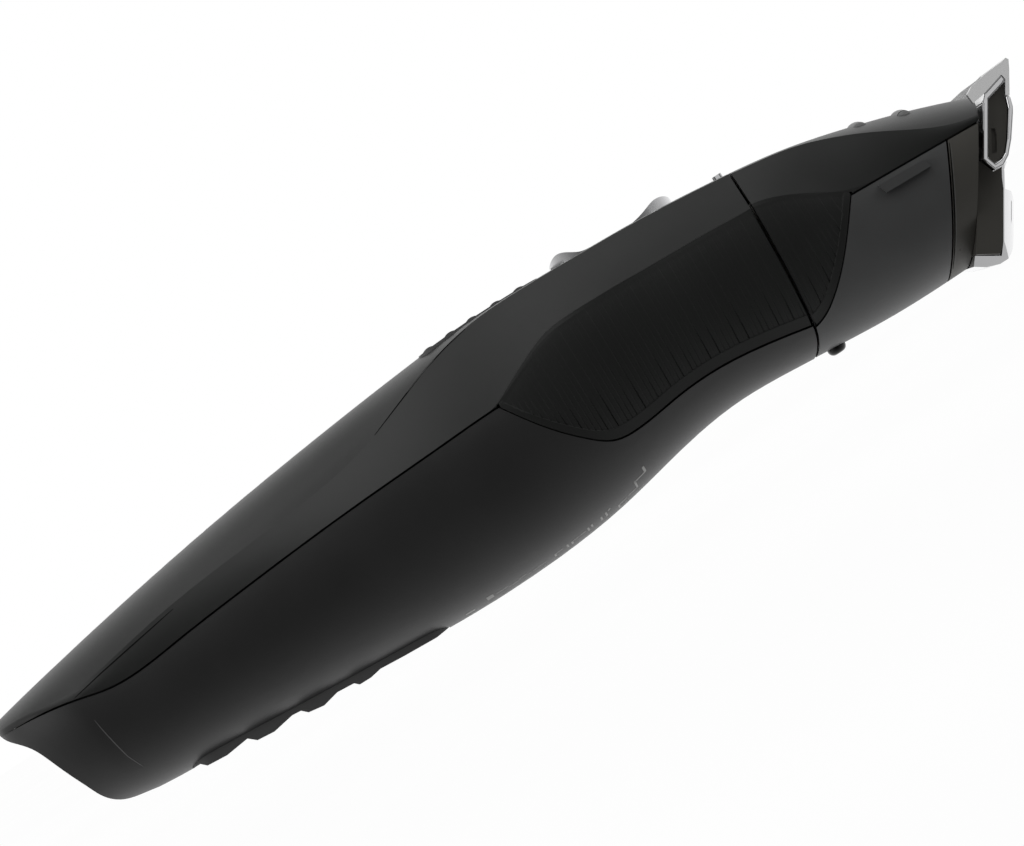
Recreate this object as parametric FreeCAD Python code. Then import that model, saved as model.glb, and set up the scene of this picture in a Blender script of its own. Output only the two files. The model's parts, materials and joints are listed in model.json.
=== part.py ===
"""Cordless hair clipper with a pull-off T-blade head, lying on its back.

Millimetres. X runs from the tail to the blade, Z up through the front (the push-button side), Y across.
Shapes are drawn with X = 0 at the tail tip and moved to the middle of the object when they are written.
"""
import FreeCAD
import Part
import math
import os
from FreeCAD import Vector as V

# ---------------------------------------------------------------- driving dimensions
MIDDLE_X = 86.3           # middle of the overall length
NECK_X = 130.4            # where the handle ends, on the middle of its sides
HEAD_X = 130.8            # where the head begins
SEAM = 0.3                # visible gap between casings
SKIN = 1.2                # depth of the soft grips, and outer half of the casing wall
WALL = 2.4                # casing wall
LAP = 1.0                 # lip behind the casing seam
FIT = 0.05                # all-round clearance of an inlaid piece

AXIS_Z = 18.0             # height of the motor shaft and the drive lever
MOTOR_R = 10.0
MOTOR_FLAT = 7.7          # half height of the motor can across its flats
MOTOR_X0, MOTOR_X1 = 90.0, 115.0
SHAFT_R = 1.0
CAM_THROW = 0.8           # offset of the eccentric pin
CAM_PIN_R = 0.9
PIVOT_X = 146.0
NOSE_X = 166.4            # lever's front pin

BATTERY_R, BATTERY_Z = 7.1, 15.0
BATTERY_X0, BATTERY_X1 = 29.0, 79.0
SOCKET_R, SOCKET_Z = 1.8, 14.5
SOCKET_X0, SOCKET_X1 = 7.2, 20.5

SWITCH_X = 113.0          # middle of the push button
BUTTON_TRAVEL = 0.7
RELEASE_X = 131.4
RELEASE_TRAVEL = 0.9

BLADE_O = (160.7, 13.0)   # origin of the blade frame on the slanted end of the head
BLADE_LEAN = 56.6         # its u direction, degrees above X
BLADE_HALF = 16.2         # half width of the T-blade
TOOTH_PITCH = 1.5
TOOTH_GAP = 0.7


# ---------------------------------------------------------------- small helpers
def rail(points):
    """Natural cubic spline through (x, value) points, as a function of x."""
    xs = [p[0] for p in points]
    ys = [p[1] for p in points]
    n = len(xs)
    h = [xs[i + 1] - xs[i] for i in range(n - 1)]
    diag, rhs, bend = [1.0] * n, [0.0] * n, [0.0] * n
    for i in range(1, n - 1):
        step = h[i - 1] / diag[i - 1] if i > 1 else 0.0
        jump = (ys[i + 1] - ys[i]) / h[i] - (ys[i] - ys[i - 1]) / h[i - 1]
        diag[i] = 2 * (h[i - 1] + h[i]) - step * (h[i - 1] if i > 1 else 0.0)
        rhs[i] = 6 * jump - step * rhs[i - 1]
    for i in range(n - 2, 0, -1):
        bend[i] = (rhs[i] - h[i] * bend[i + 1]) / diag[i]

    def at(x):
        i = 0
        while i < n - 2 and x > xs[i + 1]:
            i += 1
        a = (xs[i + 1] - x) / h[i]
        b = (x - xs[i]) / h[i]
        curve = (a**3 - a) * bend[i] + (b**3 - b) * bend[i + 1]
        return a * ys[i] + b * ys[i + 1] + curve * h[i] ** 2 / 6

    return at


def xz(points):
    return [V(x, 0, z) for x, z in points]


def curve_through(points):
    curve = Part.BSplineCurve()
    curve.interpolate(xz(points))
    return curve.toShape()


def straight(points):
    return Part.makePolygon(xz(points)).Edges


def slab(edges, y0, y1):
    """Closed edges in the XZ plane, made solid from y0 to y1."""
    face = Part.Face(Part.Wire(edges))
    face.translate(V(0, y0, 0))
    return face.extrude(V(0, y1 - y0, 0))


def profile(points, y0, y1):
    return slab(straight(points + [points[0]]), y0, y1)


def box(x0, x1, y0, y1, z0, z1):
    return Part.makeBox(x1 - x0, y1 - y0, z1 - z0, V(x0, y0, z0))


def wide(x0, x1, half, z0, z1):
    """A box centred on Y = 0."""
    return box(x0, x1, -half, half, z0, z1)


def rod_x(r, x0, x1, y=0.0, z=AXIS_Z):
    return Part.makeCylinder(r, x1 - x0, V(x0, y, z), V(1, 0, 0))


def rod_z(r, x, z0, z1, y=0.0):
    return Part.makeCylinder(r, z1 - z0, V(x, y, z0))


def oval(a, b, x, z0, z1):
    face = Part.Face(Part.Wire([Part.Ellipse(V(x, 0, z0), a, b).toShape()]))
    return face.extrude(V(0, 0, z1 - z0))


def join(*shapes):
    made = shapes[0]
    for shape in shapes[1:]:
        made = made.fuse(shape)
    return made.removeSplitter()


def pair(shape):
    """The shape and its mirror image across Y = 0."""
    return shape.fuse(mirror(shape))


def mirror(shape):
    return shape.mirror(V(0, 0, 0), V(0, 1, 0))


def wire_lead(points, r=0.55):
    """A round lead through the points."""
    made = None
    for a, b in zip(points, points[1:]):
        way = b - a
        piece = Part.makeCylinder(r, way.Length, a, way).fuse(Part.makeSphere(r, a))
        made = piece if made is None else made.fuse(piece)
    return made.fuse(Part.makeSphere(r, points[-1]))


def blade_point(u, v):
    """Blade frame (u up along the slanted end, v outward from it) to (x, z)."""
    c = math.cos(math.radians(BLADE_LEAN))
    s = math.sin(math.radians(BLADE_LEAN))
    return BLADE_O[0] + u * c + v * s, BLADE_O[1] + u * s - v * c


def blade_vector(u, v, y=0.0):
    x, z = blade_point(u, v)
    return V(x, y, z)


def blade_profile(points, y0, y1):
    return profile([blade_point(u, v) for u, v in points], y0, y1)


def rod_v(r, u, y, v0, v1):
    """A rod square to the slanted end."""
    start = blade_vector(u, v0, y)
    return Part.makeCylinder(r, v1 - v0, start, blade_vector(u, v1, y) - start)


def plan_blend(shape, x0, x1, half, radius):
    """Keeps what lies inside a rounded rectangle seen from above."""
    keep = wide(x0, x1, half, -20, 60)
    upright = [e for e in keep.Edges if abs(e.Vertexes[0].Z - e.Vertexes[-1].Z) > 1]
    return shape.common(keep.makeFillet(radius, upright))


# ---------------------------------------------------------------- outer form
# Each rail gives one line of the body along X.
HANDLE = {
    "front_z": rail([(-2, 24.6), (5, 26.0), (15, 27.8), (30, 30.2), (45, 32.2), (60, 33.8),
                     (75, 35.1), (88, 35.8), (97, 35.7), (107, 35.25), (118, 34.6), (132, 33.0)]),
    "crease_z": rail([(-2, 23.6), (5, 23.6), (13, 22.7), (20, 23.4), (30, 25.0), (46, 26.3), (60, 27.5),
                      (66, 28.6), (72, 30.5), (80, 33.3), (88, 35.1), (97, 35.4), (107, 35.0), (118, 34.3),
                      (132, 32.7)]),
    "crease_y": rail([(-2, 11.6), (13, 13.0), (30, 13.9), (46, 14.2), (60, 13.3), (72, 11.9),
                      (86, 10.4), (100, 9.8), (115, 9.4), (132, 9.0)]),
    "facet_z": rail([(-2, 22.6), (5, 22.6), (13, 21.3), (22, 20.2), (30, 20.6), (40, 21.3), (60, 22.4),
                     (76, 22.9), (86, 23.6), (93, 26.3), (101, 28.2), (115, 27.9), (132, 26.9)]),
    "facet_y": rail([(-2, 12.0), (13, 13.9), (22, 15.0), (40, 16.6), (60, 17.6), (75, 17.9),
                     (86, 17.5), (93, 16.7), (101, 15.8), (115, 14.6), (132, 13.7)]),
    "side_y": rail([(-2, 12.2), (13, 13.9), (22, 15.1), (40, 16.9), (60, 18.0), (75, 18.3),
                    (88, 18.0), (100, 17.2), (115, 15.9), (132, 15.1)]),
    "back_z": rail([(-2, 7.0), (8, 5.4), (15, 4.3), (25, 3.5), (40, 2.2), (55, 0.95), (66, 0.2),
                    (75, 0.0), (84, 0.3), (93, 1.25), (101, 2.75), (109, 4.15), (116, 4.65), (124, 4.2),
                    (132, 3.5)]),
    "square": rail([(0, 0.5), (30, 0.9), (60, 1.0), (88, 1.0), (105, 0.7), (132, 0.9)]),
}
HEAD = {
    "front_z": rail([(128, 33.5), (136, 32.4), (145, 30.5), (152, 28.5), (160, 25.85), (165, 23.9),
                     (172, 21.0)]),
    "crease_z": rail([(128, 33.2), (136, 32.0), (142, 30.7), (146, 29.2), (150, 27.3), (155, 24.4),
                      (160, 21.7), (164, 20.5), (172, 19.9)]),
    "crease_y": rail([(128, 9.1), (140, 9.6), (146, 10.8), (150, 12.2), (155, 13.9), (160, 15.1), (172, 15.9)]),
    "facet_z": rail([(128, 27.3), (134, 26.6), (138, 24.8), (142, 22.4), (146, 21.0), (151, 20.3),
                     (160, 19.7), (172, 18.8)]),
    "facet_y": rail([(128, 13.9), (138, 14.5), (145, 15.0), (152, 15.4), (160, 15.8), (172, 16.2)]),
    "side_y": rail([(128, 15.2), (140, 15.4), (150, 15.7), (160, 16.0), (172, 16.2)]),
    "back_z": rail([(128, 3.9), (134, 3.3), (140, 2.8), (148, 2.55), (156, 2.6), (172, 3.0)]),
    "square": rail([(128, 0.9), (140, 1.2), (172, 1.4)]),
}
HANDLE_STATIONS = [0, 0.6, 1.5, 3, 5.5, 8, 10.4, 12.1, 13, 13.9, 16, 20, 25, 31, 39, 47, 55, 62, 68, 74, 80, 86,
                   91, 96, 101, 108, 116, 124, 132]
HEAD_STATIONS = [125, 128, 132, 135, 138, 141, 144, 147, 150, 153, 157, 161, 166, 172]
TAIL_ROUND = 13.0         # length over which the tail rounds off, seen from above


def tail_share(x):
    """Share of the full width that the rounded tail has at x."""
    if x >= TAIL_ROUND:
        return 1.0
    return (1 - ((TAIL_ROUND - x) / (TAIL_ROUND + 0.35)) ** 1.5) ** 0.32


def section(form, x, inset):
    """Poles of one closed section: front face, a side facet, the U-shaped back, the other facet."""
    zt, zc, zf, zb = (form[k](x) for k in ("front_z", "crease_z", "facet_z", "back_z"))
    share = tail_share(x) if form is HANDLE else 1.0
    yc, yf, ys = (form[k](x) * share for k in ("crease_y", "facet_y", "side_y"))
    zt, zc, zf, zb = zt - inset, zc - 0.9 * inset, zf - 0.15 * inset, zb + inset
    yc, yf, ys = yc - 0.55 * inset, yf - inset, ys - inset
    zf = min(zf, zc - 0.3)
    yc = min(yc, yf - 0.1)
    square = form["square"](x)
    arch = (4 * zt - zc) / 3
    drop = zf - zb
    z1 = zf - 0.30 * drop
    z2 = (64 * zb - 2 * zf - 12 * z1) / 50 + (1 - square) * 0.1 * drop
    z3 = (64 * zb - 2 * (zf + 6 * z1 + 15 * z2)) / 20
    y1, y2 = 1.10 * ys, (1.06 + 0.10 * square) * ys
    my, mz = (yc + yf) / 2 + 0.25, (zc + zf) / 2 + 0.15
    rows = [
        [(-yc, zc), (-0.55 * yc, arch), (0.55 * yc, arch), (yc, zc)],
        [(yc, zc), (my, mz), (yf, zf)],
        [(yf, zf), (y1, z1), (y2, z2), (0, z3), (-y2, z2), (-y1, z1), (-yf, zf)],
        [(-yf, zf), (-my, mz), (-yc, zc)],
    ]
    return [[V(x, y, z) for y, z in row] for row in rows]


def skin(form, stations, inset):
    """A solid whose four long faces run smoothly through all the sections."""
    sections = [section(form, x, inset) for x in stations]
    faces = []
    for k in range(4):
        lines = []
        for j in range(len(sections[0][k])):
            line = Part.BSplineCurve()
            line.interpolate(Points=[s[k][j] for s in sections], Parameters=list(map(float, stations)))
            lines.append(line)
        poles = [[line.getPole(i + 1) for line in lines] for i in range(lines[0].NbPoles)]
        degree = len(lines) - 1
        surface = Part.BSplineSurface()
        surface.buildFromPolesMultsKnots(poles, lines[0].getMultiplicities(), [degree + 1, degree + 1],
                                         lines[0].getKnots(), [0.0, 1.0], False, False, 3, degree)
        faces.append(surface.toShape())
    for ends in (sections[0], sections[-1]):
        edges = []
        for row in ends:
            edge = Part.BezierCurve()
            edge.setPoles(row)
            edges.append(edge.toShape())
        faces.append(Part.Face(Part.Wire(edges)))
    shell = Part.makeShell(faces)
    shell.sewShape()
    solid = Part.makeSolid(Part.Shell(shell.Faces))
    if solid.Volume < 0:
        solid.reverse()
    return solid


TAIL_LINE = [(3.4, 26.9), (1.2, 25.5), (0.0, 23.9), (0.5, 22.4), (2.0, 20.8), (3.7, 18.9), (4.9, 16.4),
             (6.1, 13.2), (7.3, 10.0), (8.3, 7.4), (9.8, 5.8), (12.4, 4.9), (15.5, 4.1)]


def behind_tail(inset):
    """What the concave tail leaves away."""
    line = [(x + inset, z) for x, z in TAIL_LINE]
    (ax, az), (bx, bz) = line[0], line[-1]
    return slab([curve_through(line)] + straight([(bx, bz), (bx, -9), (-9, -9), (-9, 40), (ax, 40), (ax, az)]),
                -30, 30)


NECK_LINE = [(1.6, 45), (0.85, 30), (0.3, 22.5), (-0.3, 15), (-0.8, 9.5), (-1.2, 6.6), (-2.1, 4.6), (-3.1, 3.3),
             (-5.0, 1.6), (-12.0, -3.0)]


def neck_side(x, far):
    """Everything between the neck line at x and far."""
    line = [(x + dx, z) for dx, z in NECK_LINE]
    (ax, az), (bx, bz) = line[0], line[-1]
    return slab([curve_through(line)] + straight([(bx, bz), (far, bz), (far, az), (ax, az)]), -30, 30)


def handle_form(inset, x_end=NECK_X):
    """The handle drawn in by inset, ending on the neck line at x_end."""
    stations = [x for x in HANDLE_STATIONS if x >= 1.2 * inset]
    return skin(HANDLE, stations, inset).common(neck_side(x_end, -30)).cut(behind_tail(inset))


def head_form(inset, x_start=HEAD_X):
    return skin(HEAD, HEAD_STATIONS, inset).common(neck_side(x_start, 190))


PARTING = [(-6, 22.9), (2.5, 22.8), (9, 22.2), (13.5, 21.3), (18, 20.2), (22.5, 19.9), (30, 20.5), (40, 21.3),
           (60, 22.45), (76, 22.9), (86, 23.1), (100, 22.2), (136, 20.0)]
HEAD_PARTING = [(126, 21.7), (144, 20.7), (159.1, 19.8), (176, 18.6)]


def above(line, shift):
    """Everything over a parting line raised by shift, which shrinks near the tail tip."""
    line = [(x, z + (shift if x > 3 else 0.2 * shift)) for x, z in line]
    (ax, az), (bx, bz) = line[0], line[-1]
    return slab([curve_through(line)] + straight([(bx, bz), (bx, 70), (ax, 70), (ax, az)]), -30, 30)


# ---------------------------------------------------------------- soft grips
GRIP_TOP = [(85.6, 23.3), (89.0, 25.0), (92.8, 26.7), (97.0, 28.2), (101.0, 28.55), (108.0, 28.3),
            (115.0, 27.95), (122.5, 27.55), (NECK_X + 1, 26.8)]
GRIP_BOTTOM = [(NECK_X + 1, 7.6), (122.8, 9.4), (114.4, 10.4), (107.8, 10.2), (100.6, 9.5), (97.0, 10.0),
               (93.9, 12.3), (89.4, 17.5), (85.6, 23.3)]
HEAD_GRIP_TOP = [(HEAD_X - 2, 27.6), (HEAD_X, 27.5), (133.4, 26.9), (137.3, 25.2), (140.6, 23.3), (144.2, 21.0)]
HEAD_GRIP_EDGE = [(144.2, 21.0), (140.2, 16.1), (137.3, 12.8), (134.2, 9.9), (131.8, 8.3), (HEAD_X - 2, 7.6)]


def grip_zone(side):
    """The side area a handle grip covers, as a prism on one side only."""
    a, b = (3, 30) if side > 0 else (-30, -3)
    close = straight([GRIP_TOP[-1], GRIP_BOTTOM[0]])
    return slab([curve_through(GRIP_TOP), curve_through(GRIP_BOTTOM), *close], a, b)


def head_grip_zone(side):
    a, b = (3, 30) if side > 0 else (-30, -3)
    close = straight([HEAD_GRIP_EDGE[-1], HEAD_GRIP_TOP[0]])
    return slab([curve_through(HEAD_GRIP_TOP), curve_through(HEAD_GRIP_EDGE), *close], a, b)


# ---------------------------------------------------------------- handle casings
REAR_PAD_HALF = 6.2


def rear_teeth():
    """Side profile of the ridges on the back: a steep step, then a long run back to the surface."""
    back = HANDLE["back_z"]
    ridges = [(22.0, 3.95), (22.8, 3.2), (26.0, 2.9), (29.7, 3.3), (30.8, 2.3), (33.5, 2.0), (36.9, 2.55),
              (38.3, 2.4), (39.1, 1.6), (41.5, 1.2), (44.1, 1.75), (46.8, 1.5), (47.4, 0.9), (49.3, 0.85),
              (51.1, 1.15), (55.1, 0.8), (60.3, 0.45)]
    return [(20.6, back(20.6) + 0.15), *ridges, (62.4, back(62.4) + 0.2)]


def rear_pad_zone(grow):
    line = [(20.6 - grow, -5), (62.4 + grow, -5)] if grow else rear_teeth()
    top = [(62.4 + grow, 9), (20.6 - grow, 9)]
    half = REAR_PAD_HALF + grow
    return plan_blend(profile(line + top, -half, half), 20.6 - grow, 62.4 + grow, half, 3.5)


def front_pad_zone(grow, x0=80.2, x1=100.6):
    top = [(x0 - grow + i * (x1 - x0 + 2 * grow) / 8, HANDLE["front_z"](x0 + i * (x1 - x0) / 8) + 0.04)
           for i in range(9)]
    made = slab([curve_through(top)] + straight([top[-1], (x1 + grow, 20), (x0 - grow, 20), top[0]]), -9, 9)
    if grow == 0:
        for x in (82.0, 85.8, 89.5, 93.5, 97.4):
            bead = Part.makeCylinder(1.9, 14, V(x, -7, HANDLE["front_z"](x) - 1.66), V(0, 1, 0))
            made = made.fuse(bead)
    return plan_blend(made, x0 - grow, x1 + grow, 6.4 + grow, 3.0 + grow)


CHASSIS_SCREWS = [(30.2, 8.4), (30.2, -8.4), (84.0, 8.6), (84.0, -8.6)]


def make_casings():
    outer = handle_form(0.0)
    inner = handle_form(WALL, 140)
    middle = handle_form(SKIN, 140)
    shell = outer.cut(inner)
    pocket = outer.cut(middle)
    patch = handle_form(0.0, NECK_X - 0.05).cut(handle_form(SKIN - FIT, 140))
    zones = [grip_zone(side) for side in (1, -1)]
    pockets = [pocket.common(zone) for zone in zones]
    grips = [patch.common(zone) for zone in zones]

    sunk = handle_form(0.75)
    thumb_pad = front_pad_zone(0).cut(handle_form(0.7))
    rear_pad = rear_pad_zone(0).cut(handle_form(0.7))

    # front: seam step, pads, button, light guide and trim, then the posts for the chassis screws
    posts = [rod_z(2.4, x, 24.05, 40, y) for x, y in CHASSIS_SCREWS]
    front = shell.fuse([post.common(handle_form(SKIN + 0.3)) for post in posts]).common(above(PARTING, SEAM / 2))
    front = front.cut([middle.cut(above(PARTING, LAP + 0.2))] + pockets)
    openings = [front_pad_zone(FIT).cut(sunk), oval(10.15, 6.15, SWITCH_X, 33.0, 45),
                oval(8.1, 4.2, SWITCH_X, 25, 45), rod_z(0.95, 125.6, 25, 45), wide(129.55, 132, 3.6, 32.2, 45)]
    front = front.cut(openings + [rod_z(1.05, x, 20, 26.6, y) for x, y in CHASSIS_SCREWS])

    # back: everything below the seam, with a lip standing up behind it
    lip = handle_form(SKIN + 0.1).cut(above(PARTING, LAP))
    rear = shell.cut(above(PARTING, -SEAM / 2).cut(lip))
    rear = rear.cut(pockets + [rear_pad_zone(0.12).cut(sunk), rod_x(3.2, -5, 15, 0, SOCKET_Z)])
    return {
        "front_cover": front,
        "rear_casing": rear,
        "grip_left": grips[0],
        "grip_right": grips[1],
        "thumb_pad": thumb_pad,
        "rear_grip_pad": rear_pad,
    }


def make_controls():
    """Bezel, push button, light guide and trim on the front, and what they act on."""
    top = [(102.6, 35.0), (103.2, 36.1), (104.8, 36.85), (106.6, 36.1), (107.9, 35.35), (109.5, 35.05),
           (113, 34.8), (115.8, 34.6), (117.4, 34.8), (119.2, 35.3), (121, 35.75), (122.5, 35.4), (123.4, 34.0)]
    body = slab([curve_through(top)] + straight([top[-1], (123.4, 33.05), (102.6, 33.05), top[0]]), -8, 8)
    bezel = body.common(oval(10.1, 6.1, SWITCH_X, 30, 45)).cut(oval(8.1, 4.2, SWITCH_X, 30, 45))
    dish = [(104.4, 35.8), (107.5, 34.95), (113, 34.6), (118.5, 34.5), (121.6, 34.8)]
    cap = slab([curve_through(dish)] + straight([dish[-1], (121.6, 29.9), (104.4, 29.9), dish[0]]), -8, 8)
    button = cap.common(oval(7.95, 4.05, SWITCH_X, 20, 45)).fuse(oval(8.9, 5.0, SWITCH_X, 29.9, 31.0))
    trim = plan_blend(wide(129.6, 131.1, 3.55, 32.25, 33.75), 129.6, 131.1, 3.55, 0.5)
    return {
        "switch_bezel": bezel,
        "power_button": button.removeSplitter(),
        "neck_trim": trim,
        "light_guide": rod_z(0.9, 125.6, 29.3, 40).common(handle_form(0.0)),
        "circuit_board": wide(86.6, 126.4, 8.2, 27.05, 28.25),
        "tact_switch": wide(SWITCH_X - 3, SWITCH_X + 3, 3, 28.25, 28.85).fuse(rod_z(1.2, SWITCH_X, 28.5, 29.15)),
        "charge_led": wide(124.8, 126.3, 0.8, 28.25, 29.2),
        "control_chip": wide(91, 97, 3, 28.25, 29.4),
    }


# ---------------------------------------------------------------- handle internals
def charge_lead(side):
    """From one socket contact along the top of the chassis to the circuit board."""
    return wire_lead([V(22.2, 2 * side, 17.7), V(23.2, 2 * side, 24.7), V(84, 4.4 * side, 24.75),
                      V(87.4, 4.4 * side, 26.45)])


def make_power():
    cell = rod_x(BATTERY_R, BATTERY_X0, BATTERY_X1, 0, BATTERY_Z).fuse(
        rod_x(2.4, BATTERY_X1, BATTERY_X1 + 0.8, 0, BATTERY_Z))
    socket = wide(10.4, SOCKET_X1, 4.1, SOCKET_Z - 4, SOCKET_Z + 4).fuse(
        rod_x(3.1, SOCKET_X0, 10.6, 0, SOCKET_Z)).cut(rod_x(SOCKET_R, 0, 19.3, 0, SOCKET_Z))
    socket = socket.common(handle_form(0.0).fuse(wide(0, 30, 3.2, 10, 19)))
    return {
        "battery_cell": cell,
        "battery_tab_plus": wide(BATTERY_X1 + 0.8, BATTERY_X1 + 1.1, 3.5, 11.5, 21.8),
        "battery_tab_minus": wide(BATTERY_X0 - 0.3, BATTERY_X0, 3.5, 11.5, 21.8),
        "charging_socket": socket,
        "socket_contact_tip": box(SOCKET_X1, 23.0, 1.0, 3.0, 16.6, 17.1),
        "socket_contact_sleeve": box(SOCKET_X1, 23.0, -3.0, -1.0, 16.6, 17.1),
        "lead_charge_plus": charge_lead(1),
        "lead_charge_minus": charge_lead(-1),
        "lead_battery_plus": wire_lead([V(80.75, 0, 22.0), V(80.75, 0, 24.8), V(84.5, 2.2, 24.8),
                                        V(87.4, 2.2, 26.45)], 0.5),
        "lead_battery_minus": wire_lead([V(28.2, 0, 21.4), V(26.0, 0, 21.4), V(26.0, 0, 24.7),
                                         V(84.5, -2.2, 24.8), V(87.4, -2.2, 26.45)], 0.5),
        "lead_motor_left": wire_lead([V(87.7, 6.4, 19.5), V(87.7, 6.4, 26.3)], 0.5),
        "lead_motor_right": wire_lead([V(87.7, -6.4, 19.5), V(87.7, -6.4, 26.3)], 0.5),
    }


def make_chassis():
    room = handle_form(WALL + 0.25)
    plate = wide(24.6, 88.0, 11.2, 22.6, 24.0)
    notches = [wide(79.6, 82.0, 3.9, 22, 25), wide(24, 26.9, 1.0, 22, 25), box(86.9, 89, 5.6, 7.2, 22, 25),
               box(86.9, 89, -7.2, -5.6, 22, 25)]
    walls = wide(27.0, 28.2, 7.2, 9.0, 22.6).cut(wide(20, 29, 1.0, 20.6, 22.6))
    walls = walls.fuse(wide(80.35, 81.6, 7.2, 9.0, 22.6).cut(wide(80, 82, 1.0, 21, 23)))
    ribs = pair(box(33, 37, 7.25, 8.6, 12, 22.6).fuse(box(52, 56, 7.25, 8.6, 12, 22.6)).fuse(
        box(72, 76, 7.25, 8.6, 12, 22.6)))
    rails = pair(box(86.6, 126.6, 10.15, 11.2, 21.6, 27.0))
    bars = pair(box(86.6, 88.4, 7.4, 10.6, 25.8, 27.0)).fuse(wide(118.4, 120.4, 10.6, 25.8, 27.0))
    made = join(plate.cut(notches), walls, ribs, rails, bars)
    screws = None
    for x, y in CHASSIS_SCREWS:
        made = made.fuse(rod_z(2.3, x, 22.6, 24.0, y)).cut(rod_z(1.1, x, 20, 30, y))
        screw = rod_z(1.9, x, 21.3, 22.6, y).fuse(rod_z(1.0, x, 22.6, 26.3, y))
        screws = screw if screws is None else screws.fuse(screw)
    return {"chassis": made.common(room).removeSplitter(), "chassis_screws": screws}


def motor_solid(r, flat, x0, x1):
    return rod_x(r, x0, x1).common(wide(x0, x1, 30, AXIS_Z - flat, AXIS_Z + flat))


def make_motor():
    can = motor_solid(MOTOR_R, MOTOR_FLAT, MOTOR_X0, MOTOR_X1)
    can = can.cut(motor_solid(MOTOR_R - 0.9, MOTOR_FLAT - 0.9, MOTOR_X0 - 1, MOTOR_X1 - 1.2))
    can = can.fuse(rod_x(3.0, MOTOR_X1 - 1.2, MOTOR_X1 + 1.6)).cut(rod_x(SHAFT_R + 0.06, 100, 120))
    endcap = motor_solid(MOTOR_R, MOTOR_FLAT, MOTOR_X0 - 1.6, MOTOR_X0)
    endcap = endcap.cut(rod_x(SHAFT_R + 0.06, MOTOR_X0 - 1.0, MOTOR_X0 + 2))
    bracket = wide(MOTOR_X1 + 0.1, MOTOR_X1 + 1.6, 9.9, 9.6, 25.7).cut(rod_x(3.1, 110, 120))
    screws = None
    for y in (-6.0, 6.0):
        can = can.cut(rod_x(0.85, MOTOR_X1 - 3, MOTOR_X1 + 1, y))
        bracket = bracket.cut(rod_x(0.9, 110, 120, y))
        screw = rod_x(0.8, MOTOR_X1 - 1.1, MOTOR_X1 + 1.6, y).fuse(rod_x(1.6, MOTOR_X1 + 1.6, MOTOR_X1 + 2.6, y))
        screws = screw if screws is None else screws.fuse(screw)
    magnets = pair(rod_x(9.0, 93, 111).cut(rod_x(7.4, 90, 115)).common(box(93, 111, 3.2, 12, 10, 26)).common(
        motor_solid(9.05, 6.75, 93, 111)))
    shaft = rod_x(SHAFT_R, MOTOR_X0 - 0.9, 130.6)
    core = rod_x(6.6, 95, 109).cut(rod_x(SHAFT_R, 90, 115))
    cam = rod_x(3.4, 127.4, 131.4).fuse(rod_x(CAM_PIN_R, 131.4, 139.2, 0, AXIS_Z + CAM_THROW)).cut(
        rod_x(SHAFT_R, 120, 130.6))
    return {
        "motor_can": can.removeSplitter(),
        "motor_endcap": endcap,
        "motor_bracket": bracket.common(handle_form(WALL + 0.25)),
        "motor_screws": screws,
        "motor_magnets": magnets,
        "rotor_core": core,
        "motor_shaft": shaft,
        "drive_cam": cam.removeSplitter(),
    }


def soft_box(x0, x1, half, z0, z1, radius):
    """A box rounded along X."""
    made = wide(x0, x1, half, z0, z1)
    return made.makeFillet(radius, [e for e in made.Edges if abs(e.Vertexes[0].X - e.Vertexes[-1].X) > 0.1])


def make_neck():
    bulkhead = handle_form(WALL + 0.2, 140).common(wide(126.9, 129.4, 30, -5, 50))
    tube = soft_box(129.4, 136.0, 8.0, 10.0, 26.0, 2.0)
    made = bulkhead.fuse(tube).cut(soft_box(129.4, 140, 6.6, 11.4, 24.6, 1.4)).cut(rod_x(4.0, 120, 140))
    clips = []
    for side in (1, -1):
        y0, y1 = (7.3, 8.15) if side > 0 else (-8.15, -7.3)
        grow = 0.05
        made = made.cut(box(130.5 - grow, 134.5 + grow, y0 - grow, y1 + grow, 16 - grow, 20 + grow))
        clips.append(box(130.5, 134.5, y0, y1, 16, 20))
    seal = soft_box(129.45, 130.3, 8.9, 9.2, 26.8, 2.2).cut(soft_box(129, 131, 8.05, 9.95, 26.05, 2.0))
    return {
        "neck_collar": made.removeSplitter(),
        "neck_seal": seal,
        "latch_clip_left": clips[0],
        "latch_clip_right": clips[1],
    }


# ---------------------------------------------------------------- head
HOUSING_END = [(148.0, -1.2), (150.3, 3.5), (153.7, 9.6), (159.1, 19.5), (160.4, 21.9)]
FRAME_SCREWS = [(150.4, 5.4), (150.4, -5.4)]


def past(line, shift):
    """Everything toward +X of a slanted line moved by shift."""
    line = [(x + shift, z) for x, z in line]
    return profile(line + [(190, line[-1][1]), (190, line[0][1])], -30, 30)


def blade_side(v):
    """Everything beyond the plane v of the blade frame."""
    return blade_profile([(-40, v), (40, v), (40, v + 40), (-40, v + 40)], -30, 30)


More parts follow.
